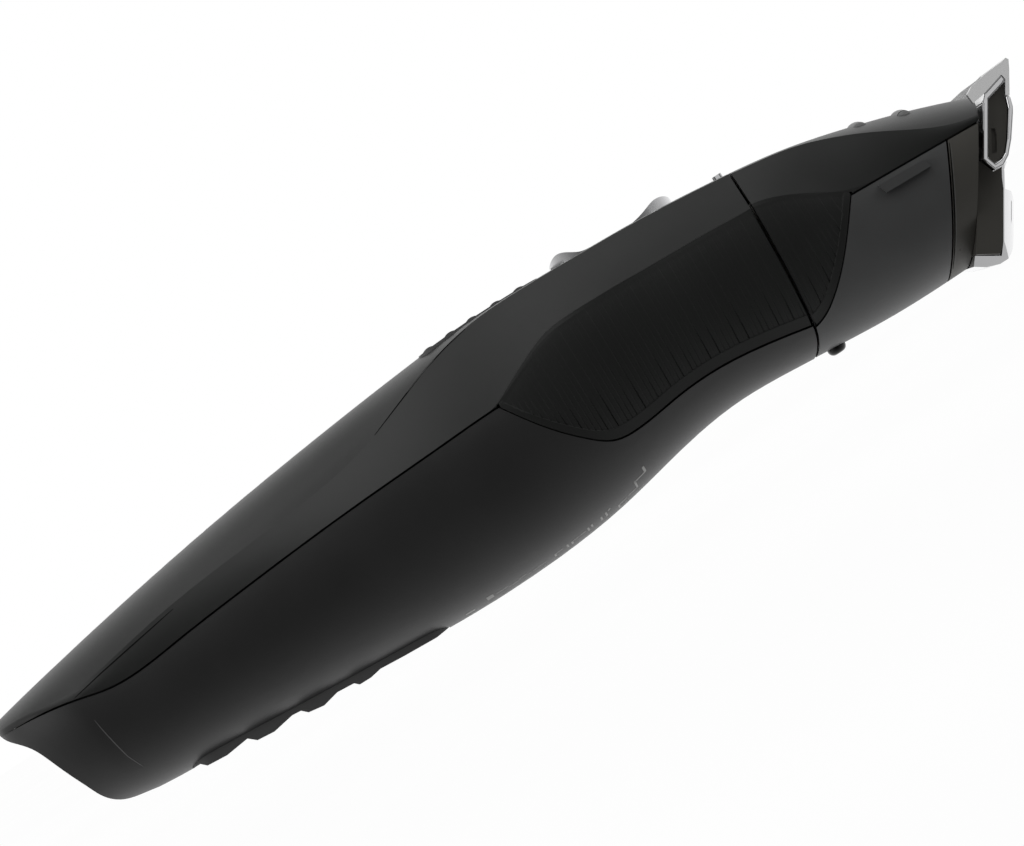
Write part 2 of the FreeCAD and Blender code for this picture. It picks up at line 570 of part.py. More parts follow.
def make_head():
    outer = head_form(0.0)
    inner = head_form(2.0, 120)
    middle = head_form(1.0, 120)
    end_plane = blade_side(-0.5)
    pocket = outer.cut(middle)
    patch = outer.cut(head_form(1.0 - FIT, 120))
    zones = [head_grip_zone(side) for side in (1, -1)]
    pockets = [pocket.common(zone) for zone in zones]
    grips = [patch.common(zone) for zone in zones]

    # front cover, closed at the blade end, with two thumb ridges
    ridges = [Part.makeCylinder(r, 13, V(x, -6.5, z), V(0, 1, 0)) for x, z, r in
              ((150.9, 27.6, 1.2), (157.1, 25.6, 1.2))]
    step = middle.cut(above(HEAD_PARTING, 0.9))
    front = outer.cut(inner.cut(blade_side(-2.4))).common(above(HEAD_PARTING, SEAM / 2)).fuse(ridges)
    front = front.cut([end_plane, step] + pockets)

    # rear housing with its lip, comb rails, screw posts and button well
    lip = head_form(1.1).cut(above(HEAD_PARTING, 0.7))
    rib = profile([(147.6, 19.7), (148.1, 18.2), (155.3, 17.9), (155.0, 19.2)], 14.2, 16.9)
    posts = [rod_z(2.2, x, 0, 12.85, y).common(head_form(0.6)) for x, y in FRAME_SCREWS]
    rear = outer.cut(inner).cut(above(HEAD_PARTING, -SEAM / 2).cut(lip)).fuse([rib, mirror(rib)] + posts)
    rear = rear.cut([past(HOUSING_END, -0.1), rod_z(1.75, RELEASE_X, 0, 8)] + pockets
                    + [rod_z(1.05, x, 8.0, 14, y) for x, y in FRAME_SCREWS])

    holder = outer.common(past(HOUSING_END, 0.2)).cut(above(HEAD_PARTING, -SEAM / 2).cut(lip)).cut(end_plane)
    holder = holder.cut(wide(150, 166, 4.1, 16.3, 21))
    holder = holder.cut(blade_profile([(-10.5, -8), (1, -8), (1, -2.4), (-10.5, -2.4)], -11, 11))

    sleeve = soft_box(131.1, 137.3, 9.6, 8.4, 27.6, 2.6).cut(soft_box(130, 140, 8.3, 9.7, 26.3, 2.3))
    frame = join(sleeve, wide(136.3, 138.0, 8.6, 9.2, 14.5), wide(137, 153.2, 8.2, 12.9, 14.5),
                 rod_z(3.4, PIVOT_X, 14.5, 16.3)).cut(rod_z(1.5, PIVOT_X, 10, 20))
    screws = None
    for x, y in FRAME_SCREWS:
        frame = frame.cut(rod_z(1.1, x, 10, 20, y))
        screw = rod_z(1.0, x, 8.6, 14.5, y).fuse(rod_z(1.9, x, 14.5, 15.6, y))
        screws = screw if screws is None else screws.fuse(screw)
    pin = rod_z(1.5, PIVOT_X, 12.9, 19.8).fuse(rod_z(2.5, PIVOT_X, 19.7, 20.6))
    stem = rod_z(1.45, RELEASE_X, 2.55, 6.6)
    stem = stem.makeFillet(0.9, [e for e in stem.Edges if e.BoundBox.ZMax < 2.6])
    release = stem.fuse(rod_z(1.85, RELEASE_X, 6.0, 6.9))
    return {
        "head_front_cover": front,
        "head_rear_housing": rear,
        "head_grip_left": grips[0],
        "head_grip_right": grips[1],
        "blade_holder": holder,
        "head_frame": frame,
        "head_frame_screws": screws,
        "pivot_pin": pin,
        "release_button": release.removeSplitter(),
    }


def make_lever():
    fork = wide(134.0, 141.0, 4.4, 15.5, 20.5).cut(wide(130, 140.0, 2.65, 10, 25))
    hub = rod_z(3.2, PIVOT_X, 16.4, 19.6)
    bar = wide(140.5, PIVOT_X, 2.4, 16.7, 19.3)
    arm = profile([(PIVOT_X, 17.2), (PIVOT_X, 18.8), (163.2, 18.8), (163.2, 17.2)], -1.9, 1.9)
    tongue = wide(163.0, NOSE_X, 0.75, 17.2, 18.8)
    nose = rod_z(0.95, NOSE_X, 16.8, 18.8)
    return {"drive_lever": join(fork, hub, bar, arm, tongue, nose).cut(rod_z(1.55, PIVOT_X, 10, 25))}


def tooth_gaps(u0, half, shift=0.0):
    """Slots between the teeth, from u0 outward."""
    gaps = []
    count = int(half // TOOTH_PITCH)
    for i in range(-count, count + 1):
        y = i * TOOTH_PITCH + shift
        if abs(y) < half - 0.6:
            gaps.append(blade_profile([(u0, -3), (u0 + 9, -3), (u0 + 9, 7), (u0, 7)],
                                      y - TOOTH_GAP / 2, y + TOOTH_GAP / 2))
    return Part.makeCompound(gaps)


def make_blades():
    outline = [(10.1, 0.15), (2.1, 0.15), (0.65, 1.86), (1.3, 3.1), (2.7, 3.8), (5.0, 4.2), (8.1, 4.4),
               (9.6, 4.4), (11.1, 3.97), (11.1, 3.35), (9.3, 3.75), (5.0, 3.6), (3.0, 3.3), (2.2, 2.85),
               (1.5, 1.95), (2.35, 0.95), (10.1, 0.95)]
    top_bar = [(10.1, 0.15), (11.45, 0.42), (14.0, 2.7), (13.35, 3.24), (12.7, 2.85), (10.65, 0.95), (10.1, 0.95)]
    frame = join(blade_profile(outline, -BLADE_HALF, BLADE_HALF), pair(blade_profile(top_bar, 14.7, BLADE_HALF)))
    frame = frame.cut(wide(160, 166.2, 3.9, 16.5, 19.5))

    blade = blade_profile([(9.5, 2.38), (15.45, 3.39), (15.7, 3.13), (16.4, 3.3), (15.8, 3.82), (11.15, 3.9),
                           (11.15, 3.3), (9.5, 3.5)], -14.7, 14.7)
    cheek = blade_profile([(11.2, -2.1), (12.3, -1.5), (14.1, 0.45), (15.75, 2.7), (16.4, 3.3), (16.2, 3.75),
                           (14.9, 3.85), (11.15, 3.9), (11.15, 3.3), (13.4, 3.3), (14.02, 2.72), (11.47, 0.44),
                           (10.0, -1.2)], 14.7, BLADE_HALF)
    fixed = join(blade.cut(tooth_gaps(12.6, 14.4)), pair(cheek))
    cutter = blade_profile([(9.45, 1.1), (10.25, 1.1), (10.25, 0.25), (11.3, 0.75), (14.0, 2.78), (15.3, 3.02),
                            (15.25, 3.24), (9.45, 2.28)], -13.1, 13.1)
    cutter = cutter.cut(tooth_gaps(12.6, 13.1, TOOTH_PITCH / 2))
    carrier = blade_profile([(3.6, 1.5), (9.45, 1.5), (9.45, 2.28), (8.9, 3.2), (3.6, 3.2)], -7, 7)
    carrier = carrier.cut(blade_profile([(4.8, 0), (8.75, 0), (8.75, 5), (4.8, 5)], -1.15, 1.15))
    guard = blade_profile([(2.4, 1.0), (10.6, 1.0), (12.65, 2.92), (13.05, 3.22), (11.15, 3.24), (9.3, 3.65),
                           (5.0, 3.5), (3.0, 3.2), (2.3, 2.75), (1.6, 1.95)], 14.75, 15.5)
    guard = guard.cut(blade_profile([(2.9, 1.5), (6.5, 1.4), (6.5, 1.9), (5.6, 2.15), (3.2, 2.2)], 14, 16))
    spring = blade_profile([(3.7, 1.0), (9.2, 1.0), (9.2, 1.35), (3.7, 1.35)], -11, 11)
    spring = spring.cut(blade_profile([(4.4, 0), (8.5, 0), (8.5, 5), (4.4, 5)], -4.2, 4.2))

    base = blade_profile([(-11.2, -0.42), (-11.1, 2.9), (-9.4, 3.3), (-1.9, 3.3), (-0.35, 3.1), (1.1, 3.0),
                          (0.53, 1.86), (1.95, 0.05), (1.95, -0.42)], -14, 14)
    cover_top = [(-10.5, 5.25), (-8.5, 5.85), (-6.0, 6.15), (-3.4, 6.2)]
    edge = curve_through([blade_point(u, v) for u, v in cover_top])
    rest = [(-3.4, 6.2), (-2.6, 5.4), (-1.95, 5.0), (-1.9, 3.7), (0.9, 3.5), (2.0, 4.0), (2.15, 3.7), (1.1, 3.15),
            (-0.35, 3.2), (-1.95, 3.4), (-11.3, 3.4), (-11.3, -0.4), (-12.8, -0.4), (-12.85, 1.4), (-12.4, 3.3),
            (-11.7, 4.35), (-10.5, 5.25)]
    cover = slab([edge] + straight([blade_point(u, v) for u, v in rest]), -13.2, 13.2)
    for side in (1, -1):
        corner = Part.makePolygon([blade_vector(u, -5, side * y) for u, y in
                                   ((-9.3, 13.2), (-13.3, 9.2), (-13.3, 14), (-9.3, 14), (-9.3, 13.2))])
        cover = cover.cut(Part.Face(corner).extrude(blade_vector(0, 15) - blade_vector(0, 0)))
    arch_start = blade_vector(-20, 6.2 - 34.0)
    arch = Part.makeCylinder(34.0, 30, arch_start, blade_vector(0, 0) - blade_vector(-1, 0))
    cover = cover.common(arch)
    hollow = blade_profile([(-11.2, 3.4), (-10.2, 4.4), (-6.0, 5.1), (-3.4, 5.1), (-2.8, 4.4), (-2.8, 3.35),
                            (-11.2, 3.35)], -9, 9)
    cover = cover.cut(hollow)
    screws = None
    for y in (-6.5, 6.5):
        base = base.cut(rod_v(0.95, -5.5, y, -2, 5))
        screw = rod_v(0.85, -5.5, y, -0.45, 3.3).fuse(rod_v(1.6, -5.5, y, 3.3, 4.2))
        screws = screw if screws is None else screws.fuse(screw)
    return {
        "blade_frame": frame,
        "fixed_blade": fixed,
        "moving_blade": cutter,
        "blade_carrier": carrier,
        "blade_guards": pair(guard),
        "cutter_spring": spring,
        "blade_base": base,
        "blade_cover": cover,
        "blade_screws": screws,
    }


# ---------------------------------------------------------------- write the parts
def main():
    os.makedirs("parts", exist_ok=True)
    for make in (make_casings, make_controls, make_power, make_chassis, make_motor, make_neck, make_head,
                 make_lever, make_blades):
        for name, shape in make().items():
            if not shape.isValid() or not shape.Solids:
                print("check this shape:", name, shape.isValid(), len(shape.Solids))
            shape.translate(V(-MIDDLE_X, 0, 0))
            shape.exportStep("parts/" + name + ".step")


main()
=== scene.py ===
"""Cordless hair clipper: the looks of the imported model, in a plain pale studio."""
import json
import math
import bpy
from mathutils import Matrix, Vector
from mathutils.bvhtree import BVHTree


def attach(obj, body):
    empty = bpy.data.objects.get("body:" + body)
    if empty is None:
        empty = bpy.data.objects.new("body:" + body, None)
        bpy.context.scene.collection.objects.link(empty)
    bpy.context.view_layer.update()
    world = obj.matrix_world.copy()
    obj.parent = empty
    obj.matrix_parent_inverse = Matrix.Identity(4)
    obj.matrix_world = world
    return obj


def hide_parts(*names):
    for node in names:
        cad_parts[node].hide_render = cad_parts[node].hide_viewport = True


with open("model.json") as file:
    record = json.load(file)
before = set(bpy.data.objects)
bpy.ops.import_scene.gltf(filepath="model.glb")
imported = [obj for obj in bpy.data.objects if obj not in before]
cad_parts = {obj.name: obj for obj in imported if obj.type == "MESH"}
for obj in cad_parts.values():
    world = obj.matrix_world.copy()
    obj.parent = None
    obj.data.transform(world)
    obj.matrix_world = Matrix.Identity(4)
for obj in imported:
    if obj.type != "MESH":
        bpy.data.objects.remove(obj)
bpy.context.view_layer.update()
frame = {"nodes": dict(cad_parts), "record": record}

MM = 0.001


# ---------------------------------------------------------------- camera
ROLL = math.radians(33.4)         # the clipper's axis climbs to the right in the view
LOOK_AT = Vector((-0.1, 0.0, 20.17)) * MM
DISTANCE = 600 * MM
LENS = 145.8

cam_data = bpy.data.cameras.new("camera")
cam_data.sensor_width = 36.0
cam_data.lens = LENS
cam_data.clip_start = 0.01
camera = bpy.data.objects.new("camera", cam_data)
bpy.context.collection.objects.link(camera)
right = Vector((math.cos(ROLL), 0, -math.sin(ROLL)))
up = Vector((math.sin(ROLL), 0, math.cos(ROLL)))
back = right.cross(up)
turned = Matrix((right, up, back)).transposed().to_4x4()
camera.matrix_world = Matrix.Translation(LOOK_AT + back * DISTANCE) @ turned
bpy.context.scene.camera = camera


# ---------------------------------------------------------------- materials
def new_material(name):
    mat = bpy.data.materials.new(name)
    mat.use_nodes = True
    return mat, mat.node_tree, mat.node_tree.nodes["Principled BSDF"]


def link(tree, a, out, b, into):
    tree.links.new(a.outputs[out], b.inputs[into])


def noise(tree, scale, detail=4.0):
    coords = tree.nodes.new("ShaderNodeTexCoord")
    node = tree.nodes.new("ShaderNodeTexNoise")
    node.inputs["Scale"].default_value = scale
    node.inputs["Detail"].default_value = detail
    link(tree, coords, "Object", node, "Vector")
    return node


def spread(tree, source, out, low, high):
    """Maps the middle of a noise, 0.3..0.7, to low..high."""
    node = tree.nodes.new("ShaderNodeMapRange")
    node.inputs["From Min"].default_value = 0.3
    node.inputs["From Max"].default_value = 0.7
    node.inputs["To Min"].default_value = low
    node.inputs["To Max"].default_value = high
    link(tree, source, out, node, "Value")
    return node


def bump(tree, shader, source, strength, depth):
    """Raises the surface by a noise; depth is in mm."""
    node = tree.nodes.new("ShaderNodeBump")
    node.inputs["Strength"].default_value = strength
    node.inputs["Distance"].default_value = depth * MM
    link(tree, source, "Fac", node, "Height")
    link(tree, node, "Normal", shader, "Normal")


def shade(tree, factor, dark, light):
    node = tree.nodes.new("ShaderNodeMix")
    node.data_type = "RGBA"
    node.inputs["A"].default_value = (*dark, 1)
    node.inputs["B"].default_value = (*light, 1)
    tree.links.new(factor, node.inputs["Factor"])
    return node.outputs["Result"]


def moulded(name, colour, rough, grain=0.15, coat=0.0, spec=0.5):
    """Moulded plastic or rubber with a fine spark-eroded grain."""
    vary = 0.12                           # how far the colour wanders, as a share of it
    mat, tree, shader = new_material(name)
    broad = noise(tree, 60.0, 3.0)
    fine = noise(tree, 9000.0, 2.0)
    dark = [c * (1 - vary) for c in colour]
    light = [min(1.0, c * (1 + vary)) for c in colour]
    mixed = spread(tree, broad, "Fac", 0.0, 1.0)
    tree.links.new(shade(tree, mixed.outputs["Result"], dark, light), shader.inputs["Base Color"])
    roughness = spread(tree, fine, "Fac", rough - 0.04, rough + 0.05)
    link(tree, roughness, "Result", shader, "Roughness")
    bump(tree, shader, fine, grain, 0.03)
    shader.inputs["Specular IOR Level"].default_value = spec
    shader.inputs["Coat Weight"].default_value = coat
    return mat


def metal(name, colour, rough, brushed=None):
    """Polished or brushed metal; brushed gives the scale of the streaks along X, Y and Z."""
    mat, tree, shader = new_material(name)
    shader.inputs["Metallic"].default_value = 1.0
    coords = tree.nodes.new("ShaderNodeTexCoord")
    stretch = tree.nodes.new("ShaderNodeMapping")
    stretch.inputs["Scale"].default_value = brushed or (1, 1, 1)
    link(tree, coords, "Object", stretch, "Vector")
    streak = tree.nodes.new("ShaderNodeTexNoise")
    streak.inputs["Scale"].default_value = 2500.0 if brushed else 120.0
    streak.inputs["Detail"].default_value = 3.0
    link(tree, stretch, "Vector", streak, "Vector")
    dark = [c * 0.9 for c in colour]
    mixed = spread(tree, streak, "Fac", 0.0, 1.0)
    tree.links.new(shade(tree, mixed.outputs["Result"], dark, colour), shader.inputs["Base Color"])
    roughness = spread(tree, streak, "Fac", max(0.02, rough - 0.05), rough + 0.06)
    link(tree, roughness, "Result", shader, "Roughness")
    bump(tree, shader, streak, 0.1, 0.02)
    return mat


LOOKS = {
    "cover_dark": moulded("cover_dark", (0.019, 0.020, 0.019), 0.42, grain=0.2, spec=0.4),
    "casing_black": moulded("casing_black", (0.042, 0.042, 0.042), 0.42, grain=0.3),
    "housing_grey": moulded("housing_grey", (0.115, 0.117, 0.117), 0.45, grain=0.3, spec=0.4),
    "holder_grey": moulded("holder_grey", (0.105, 0.101, 0.09), 0.5, grain=0.5, spec=0.4),
    "soft_grip": moulded("soft_grip", (0.022, 0.023, 0.022), 0.55, grain=0.4, spec=0.35),
    # The pads' light grey is partly the rubber's own tone and partly painted light, standing for the
    # brightness their raised faces catch from above and behind.
    "soft_pad": moulded("soft_pad", (0.22, 0.22, 0.22), 0.5, grain=0.3, spec=0.4),
    "chrome": metal("chrome", (0.84, 0.84, 0.85), 0.08),
    "blade_steel": metal("blade_steel", (0.82, 0.82, 0.82), 0.24, brushed=(1.0, 0.06, 1.0)),
    "steel": metal("steel", (0.5, 0.5, 0.5), 0.3, brushed=(1.0, 0.1, 1.0)),
    "button_black": moulded("button_black", (0.012, 0.012, 0.012), 0.22, grain=0.1, coat=0.3),
    "frame_plastic": moulded("frame_plastic", (0.28, 0.28, 0.27), 0.5),
    "magnet": moulded("magnet", (0.06, 0.06, 0.06), 0.5),
    "board_green": moulded("board_green", (0.02, 0.14, 0.05), 0.4),
    "clear": moulded("clear", (0.7, 0.7, 0.7), 0.15),
    "brass": metal("brass", (0.6, 0.45, 0.2), 0.25),
    "cell_wrap": moulded("cell_wrap", (0.05, 0.2, 0.4), 0.3),
    "lead_red": moulded("lead_red", (0.4, 0.02, 0.02), 0.45),
    "lead_black": moulded("lead_black", (0.015, 0.015, 0.015), 0.45),
}

slot_of = {part["node"]: part["material_slot"] for part in frame["record"]["subparts"]}
for node, obj in frame["nodes"].items():
    look = LOOKS[slot_of[node]]
    if not obj.material_slots:
        obj.data.materials.append(look)
    for held in obj.material_slots:
        held.link = "OBJECT"
        held.material = look


def soften(node, width, segments):
    """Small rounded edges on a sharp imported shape."""
    weld = frame["nodes"][node].modifiers.new("weld", "WELD")
    weld.merge_threshold = 0.001 * MM
    edge = frame["nodes"][node].modifiers.new("edge", "BEVEL")
    edge.width = width * MM
    edge.segments = segments
    edge.limit_method = "ANGLE"
    edge.angle_limit = math.radians(35)


soften("blade_frame", 0.2, 3)


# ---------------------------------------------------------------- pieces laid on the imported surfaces
# X below counts from the tail tip, in mm; Z from the surface it lies on.
MIDDLE_X = 86.3           # distance of the tail tip from the origin
NECK = 130.4              # where the handle ends, on the middle of its sides
GROOVE_PITCH = 0.78
GROOVE_SHARES = (0.33, 0.5, 0.67, 1.0)    # rim, bottom, rim and next start of a groove, of its pitch
GROOVE_DEPTH = 0.16
BORDER = 1.6              # smooth band along the lower edge of a grip
EDGE = 0.12               # width of the rounded step at either edge of that band
TOP_FADE = 0.8            # the grooves fade out over this below the upper edge
EDGE_SINK = 0.15          # how far the lower rim is rounded back
FIELD_SINK = 0.07         # how far the grooved field lies below the border
GRIP_DEPTH = 1.0
LOWER_GAP = 0.2           # black seam under the lower edge
UPPER_GAP = 0.02
ROWS = 34                 # rows of points above the border
LOWEST_SHARE = 1 / 12     # the rows of a low column's border are at most this share of it apart


def surface_of(node):
    """A ray-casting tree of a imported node."""
    obj = frame["nodes"][node]
    points = [obj.matrix_world @ v.co for v in obj.data.vertices]
    return BVHTree.FromPolygons(points, [tuple(f.vertices) for f in obj.data.polygons])


def cast_side(tree, side, x, z):
    """Point and outward normal where a line along Y first meets the surface, or None."""
    hit, normal, _, _ = tree.ray_cast(Vector((x, side * 60 * MM, z)), Vector((0, -side, 0)), 70 * MM)
    if hit is None:
        return None
    return hit, normal if normal.y * side > 0 else -normal


def reach(tree, side, place, z, step):
    """How far the surface runs from z in the direction of step, along the line X = place(Z)."""
    inside, outside = 0.0, step
    for _ in range(16):
        half = (inside + outside) / 2
        if cast_side(tree, side, place(z + half), z + half):
            inside = half
        else:
            outside = half
    return z + inside


def add_object(name, verts, faces, look):
    mesh = bpy.data.meshes.new(name)
    mesh.from_pydata(verts, [], faces)
    mesh.materials.append(look)
    made = bpy.data.objects.new(name, mesh)
    bpy.context.collection.objects.link(made)
    return made


def closed_grid(front, back):
    """Vertices and faces of a slab between two grids of points, given as lists of columns."""
    columns, rows = len(front), len(front[0])
    verts = [p for column in front + back for p in column]
    shift = columns * rows

    def at(i, j):
        return i * rows + j

    faces = []
    for i in range(columns - 1):
        for j in range(rows - 1):
            quad = (at(i, j), at(i + 1, j), at(i + 1, j + 1), at(i, j + 1))
            faces += [quad, tuple(v + shift for v in reversed(quad))]
    rim = [at(i, 0) for i in range(columns)] + [at(columns - 1, j) for j in range(1, rows)]
    rim += [at(i, rows - 1) for i in range(columns - 2, -1, -1)]
    rim += [at(0, j) for j in range(rows - 2, 0, -1)]
    for a, b in zip(rim, rim[1:] + rim[:1]):
        faces.append((a, a + shift, b + shift, b))
    return verts, faces


def between(points):
    """Straight runs between (x, value) points, as a function of x."""
    def at(x):
        for (xa, va), (xb, vb) in zip(points, points[1:]):
            if x <= xb:
                return va + (vb - va) * (x - xa) / (xb - xa)
        return points[-1][1]
    return at


# How far the neck seam stands forward of a straight cut, at each height.
NECK_SLANT = between([(-3, -12.0), (1.6, -5.0), (3.3, -3.1), (4.6, -2.1), (6.6, -1.2), (9.5, -0.8),
                      (15, -0.3), (22.5, 0.3), (30, 0.85), (45, 1.6)])


def groove_steps(length):
    """Distances along a grip at which it has a column of points."""
    steps = [0.0]
    for k in range(int(length / GROOVE_PITCH)):
        steps += [(k + share) * GROOVE_PITCH for share in GROOVE_SHARES]
    closest = 0.05
    return [step for step in steps if step < length - closest] + [length]


def groove_heights(tall):
    """Heights of a column's points above the lower edge."""
    heights = [0.0, EDGE, BORDER, BORDER + EDGE, BORDER + 0.5]
    heights = [min(h * MM, tall * (i + 1) * LOWEST_SHARE) for i, h in enumerate(heights)]
    heights[0] = 0.0
    last = heights[-1]
    return heights + [last + (tall - last) * (j + 1) / ROWS for j in range(ROWS)]


def groove_sink(step, h, tall):
    """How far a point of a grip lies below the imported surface, in mm."""
    field = min(1.0, max(0.0, (h / MM - BORDER) / EDGE)) * min(1.0, (tall - h) / MM / TOP_FADE)
    sink = EDGE_SINK * max(0.0, 1 - h / MM / EDGE) + FIELD_SINK * field
    k = math.floor(step / GROOVE_PITCH)
    if abs(step / GROOVE_PITCH - k - 0.5) < 0.01:
        # the bottom of groove k: grooves differ in depth, and get shallower towards the top
        strength = 0.6 + 0.4 * math.sin(12.9898 * k) * math.sin(3.7 * k + 1.0)
        fade = min(1.0, max(0.2, 1.3 - 1.8 * h / tall))
        sink += GROOVE_DEPTH * strength * fade * field
    return sink


def grooved_grip(node, side, x_neck, x_far, middle):
    """A soft grip with fine grooves across it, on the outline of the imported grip."""
    tree = surface_of(node)
    way = 1 if x_far > x_neck else -1
    length = abs(x_far - x_neck)
    front, back = [], []
    for step in groove_steps(length):
        x = x_neck + way * step
        lean = 1 - step / length

        def place(z):
            return (x + lean * NECK_SLANT(z / MM) - MIDDLE_X) * MM

        start = middle(x) * MM
        low = reach(tree, side, place, start, -0.03) + LOWER_GAP * MM
        high = reach(tree, side, place, start, 0.03) - UPPER_GAP * MM
        tall = high - low
        front_column, back_column = [], []
        for h in groove_heights(tall):
            z = low + h
            # where a rounded rim makes the ray miss, the next try is a little nearer the middle
            inward = z - 0.02 * (h - tall / 2)
            point, normal = (cast_side(tree, side, place(z), z)
                             or cast_side(tree, side, place(z), inward))
            front_column.append(point - normal * groove_sink(step, h, tall) * MM)
            back_column.append(point - normal * GRIP_DEPTH * MM)
        front.append(front_column)
        back.append(back_column)
    piece = add_object(node + "_grooved", *closed_grid(front, back), LOOKS["soft_grip"])
    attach(piece, "head" if node.startswith("head") else "handle")
    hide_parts(node)


# Heights that are inside a grip all along it.
HANDLE_GRIP_MIDDLE = between([(85.6, 23.3), (87.3, 22.4), (93.9, 19.5), (97.0, 19.0), (NECK, 17.0)])
HEAD_GRIP_MIDDLE = between([(130.8, 17.5), (137.3, 18.5), (140.2, 19.6), (144.2, 21.0)])
# Each grip runs from just beside the neck seam to its far tip.
for name, side in (("left", 1), ("right", -1)):
    grooved_grip("grip_" + name, side, NECK - 0.08, 86.1, HANDLE_GRIP_MIDDLE)
    grooved_grip("head_grip_" + name, side, NECK + 0.43, 143.8, HEAD_GRIP_MIDDLE)


# Bars of the label: x and y of the middle from the origin, then length and width, in mm.
LABEL_BARS = [
    (12.0, -8.2, 0.4, 1.5), (10.9, -7.5, 2.4, 0.3), (9.9, -6.6, 0.3, 2.4), (9.1, -5.4, 1.8, 0.3),
    (6.9, -5.2, 1.6, 0.3), (6.2, -4.5, 0.3, 1.4), (4.7, -6.8, 0.4, 0.4), (4.0, -6.0, 0.3, 1.8),
    (3.1, -5.9, 0.3, 1.6), (1.4, -6.4, 0.3, 1.2), (0.7, -6.1, 0.3, 1.6), (-0.3, -6.4, 1.0, 0.25),
    (-1.7, -6.4, 1.4, 0.25), (-2.3, -5.8, 0.3, 1.4), (-3.1, -6.0, 0.3, 1.6), (-4.6, -6.4, 1.4, 0.25),
    (-5.3, -5.8, 0.3, 1.4), (-8.4, -6.0, 3.0, 0.2), (-10.9, -6.6, 1.2, 0.25), (-12.2, -6.0, 2.2, 0.25),
    (-14.4, -6.5, 1.9, 0.25), (-16.4, -6.6, 1.1, 1.5), (-20.0, -5.2, 1.5, 0.9)]
for i in range(11):
    x = -20.0 + 3.0 * i
    LABEL_BARS += [(x, -3.7, 1.8, 0.3), (x + 0.4, 3.7, 2.2, 0.3), (x - 0.2, 6.2, 1.7 + 0.5 * (i % 2), 0.3)]


def printed_label():
    """Pale bars on the back that stand in for a printed label, as one thin mesh."""
    tree = surface_of("rear_casing")
    cell, lift = 0.4, 0.015
    verts, faces = [], []
    for x, y, dx, dy in LABEL_BARS:
        first = len(verts)
        across, along = 2 + round(dx / cell), 2 + round(dy / cell)
        for i in range(across):
            for j in range(along):
                at = Vector((x + dx * (i / (across - 1) - 0.5), y + dy * (j / (along - 1) - 0.5), -5)) * MM
                hit, normal, _, _ = tree.ray_cast(at, Vector((0, 0, 1)))
                verts.append(hit + lift * MM * (normal if normal.z < 0 else -normal))
        for i in range(across - 1):
            for j in range(along - 1):
                a = first + i * along + j
                faces.append((a, a + 1, a + along + 1, a + along))
    pale = moulded("pale_print", (0.5, 0.5, 0.49), 0.6, grain=0.05)
    piece = add_object("rear_print", verts, faces, pale)
    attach(piece, "handle")


printed_label()


def fine_line(name, node, body, points, half_width, look):
    """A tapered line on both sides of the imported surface, through (x, z) points."""
    tree = surface_of(node)
    (x0, z0), (x1, z1) = points[0], points[-1]
    lengthwise = x1 > x0 + 5
    count, lift = 40, 0.012
    z_at = between(points)
    x_at = between(sorted((z, x) for x, z in points))
    verts, faces = [], []
    for side in (1, -1):
        first = len(verts)
        for i in range(count):
            share = i / (count - 1)
            if lengthwise:
                x = x0 + share * (x1 - x0)
                z = z_at(x)
                across = Vector((0, 0, 1))
            else:
                z = z0 + share * (z1 - z0)
                x = x_at(z)
                across = Vector((1, 0, 0))
            half = half_width * math.sin(math.pi * (0.04 + 0.92 * share)) ** 0.5
            for way in (-1, 1):
                at = Vector((x - MIDDLE_X, 0, z)) + across * half * way
                point, normal = cast_side(tree, side, at.x * MM, at.z * MM)
                verts.append(point + normal * lift * MM)
        for i in range(count - 1):
            a = first + 2 * i
            faces.append((a, a + 1, a + 3, a + 2))
    piece = add_object(name, verts, faces, look)
    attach(piece, body)


LINE_DARK = moulded("crease_shadow", (0.004, 0.004, 0.004), 0.8, grain=0.0, spec=0.1)
# The pale lines are painted highlights, standing for light caught on the edge of the tail crease and of
# the holder's gap.
LINE_HIGHLIGHT = moulded("crease_highlight", (0.2, 0.2, 0.2), 0.5, grain=0.1, spec=0.4)
fine_line("tail_cover_crease", "front_cover", "handle",
          [(13.2, 21.75), (18.1, 22.6), (23.2, 23.35), (27.4, 23.95), (31.8, 24.6)], 0.1, LINE_DARK)
fine_line("upper_cover_crease", "front_cover", "handle",
          [(69.0, 29.45), (72.0, 30.5), (76.0, 31.9), (80.0, 33.3), (84.0, 34.3), (88.0, 35.0)],
          0.1, LINE_DARK)
# A painted highlight along the tail's crease.
fine_line("tail_edge", "rear_casing", "handle",
          [(13.9, 17.6), (14.05, 16.0), (14.4, 13.4), (14.8, 10.7), (15.6, 8.3)], 0.08, LINE_HIGHLIGHT)
fine_line("holder_edge_shadow", "blade_holder", "head",
          [(159.34, 19.2), (154.08, 9.6), (150.92, 3.9)], 0.12, LINE_DARK)
# A painted highlight along the near edge of the holder's gap.
fine_line("holder_edge_light", "blade_holder", "head",
          [(159.56, 19.2), (154.32, 9.6), (151.16, 3.9)], 0.05, LINE_HIGHLIGHT)


def guard_step(name, points, y0, y1):
    """Backs of the slots in both end guards, through (x, z) points."""
    verts, faces = [], []
    count = len(points)
    for side in (1, -1):
        first = len(verts)
        for y in (y0, y1):
            verts += [Vector((x - MIDDLE_X, side * y, z)) * MM for x, z in points]
        faces.append(tuple(range(first, first + count)))
        faces.append(tuple(range(first + 2 * count - 1, first + count - 1, -1)))
        for i in range(count):
            j = (i + 1) % count
            faces.append((first + i, first + j, first + count + j, first + count + i))
    piece = add_object(name, verts, faces, LOOKS["holder_grey"])
    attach(piece, "head")


BLADE_O = (160.7, 13.0)               # origin of the blade frame, as (x, z)
BLADE_LEAN = math.radians(56.6)       # direction of its u axis above X


def blade_point(u, v):
    """Blade frame (u up along the slanted end, v outward from it) to (x, z)."""
    c, s = math.cos(BLADE_LEAN), math.sin(BLADE_LEAN)
    return BLADE_O[0] + u * c + v * s, BLADE_O[1] + u * s - v * c


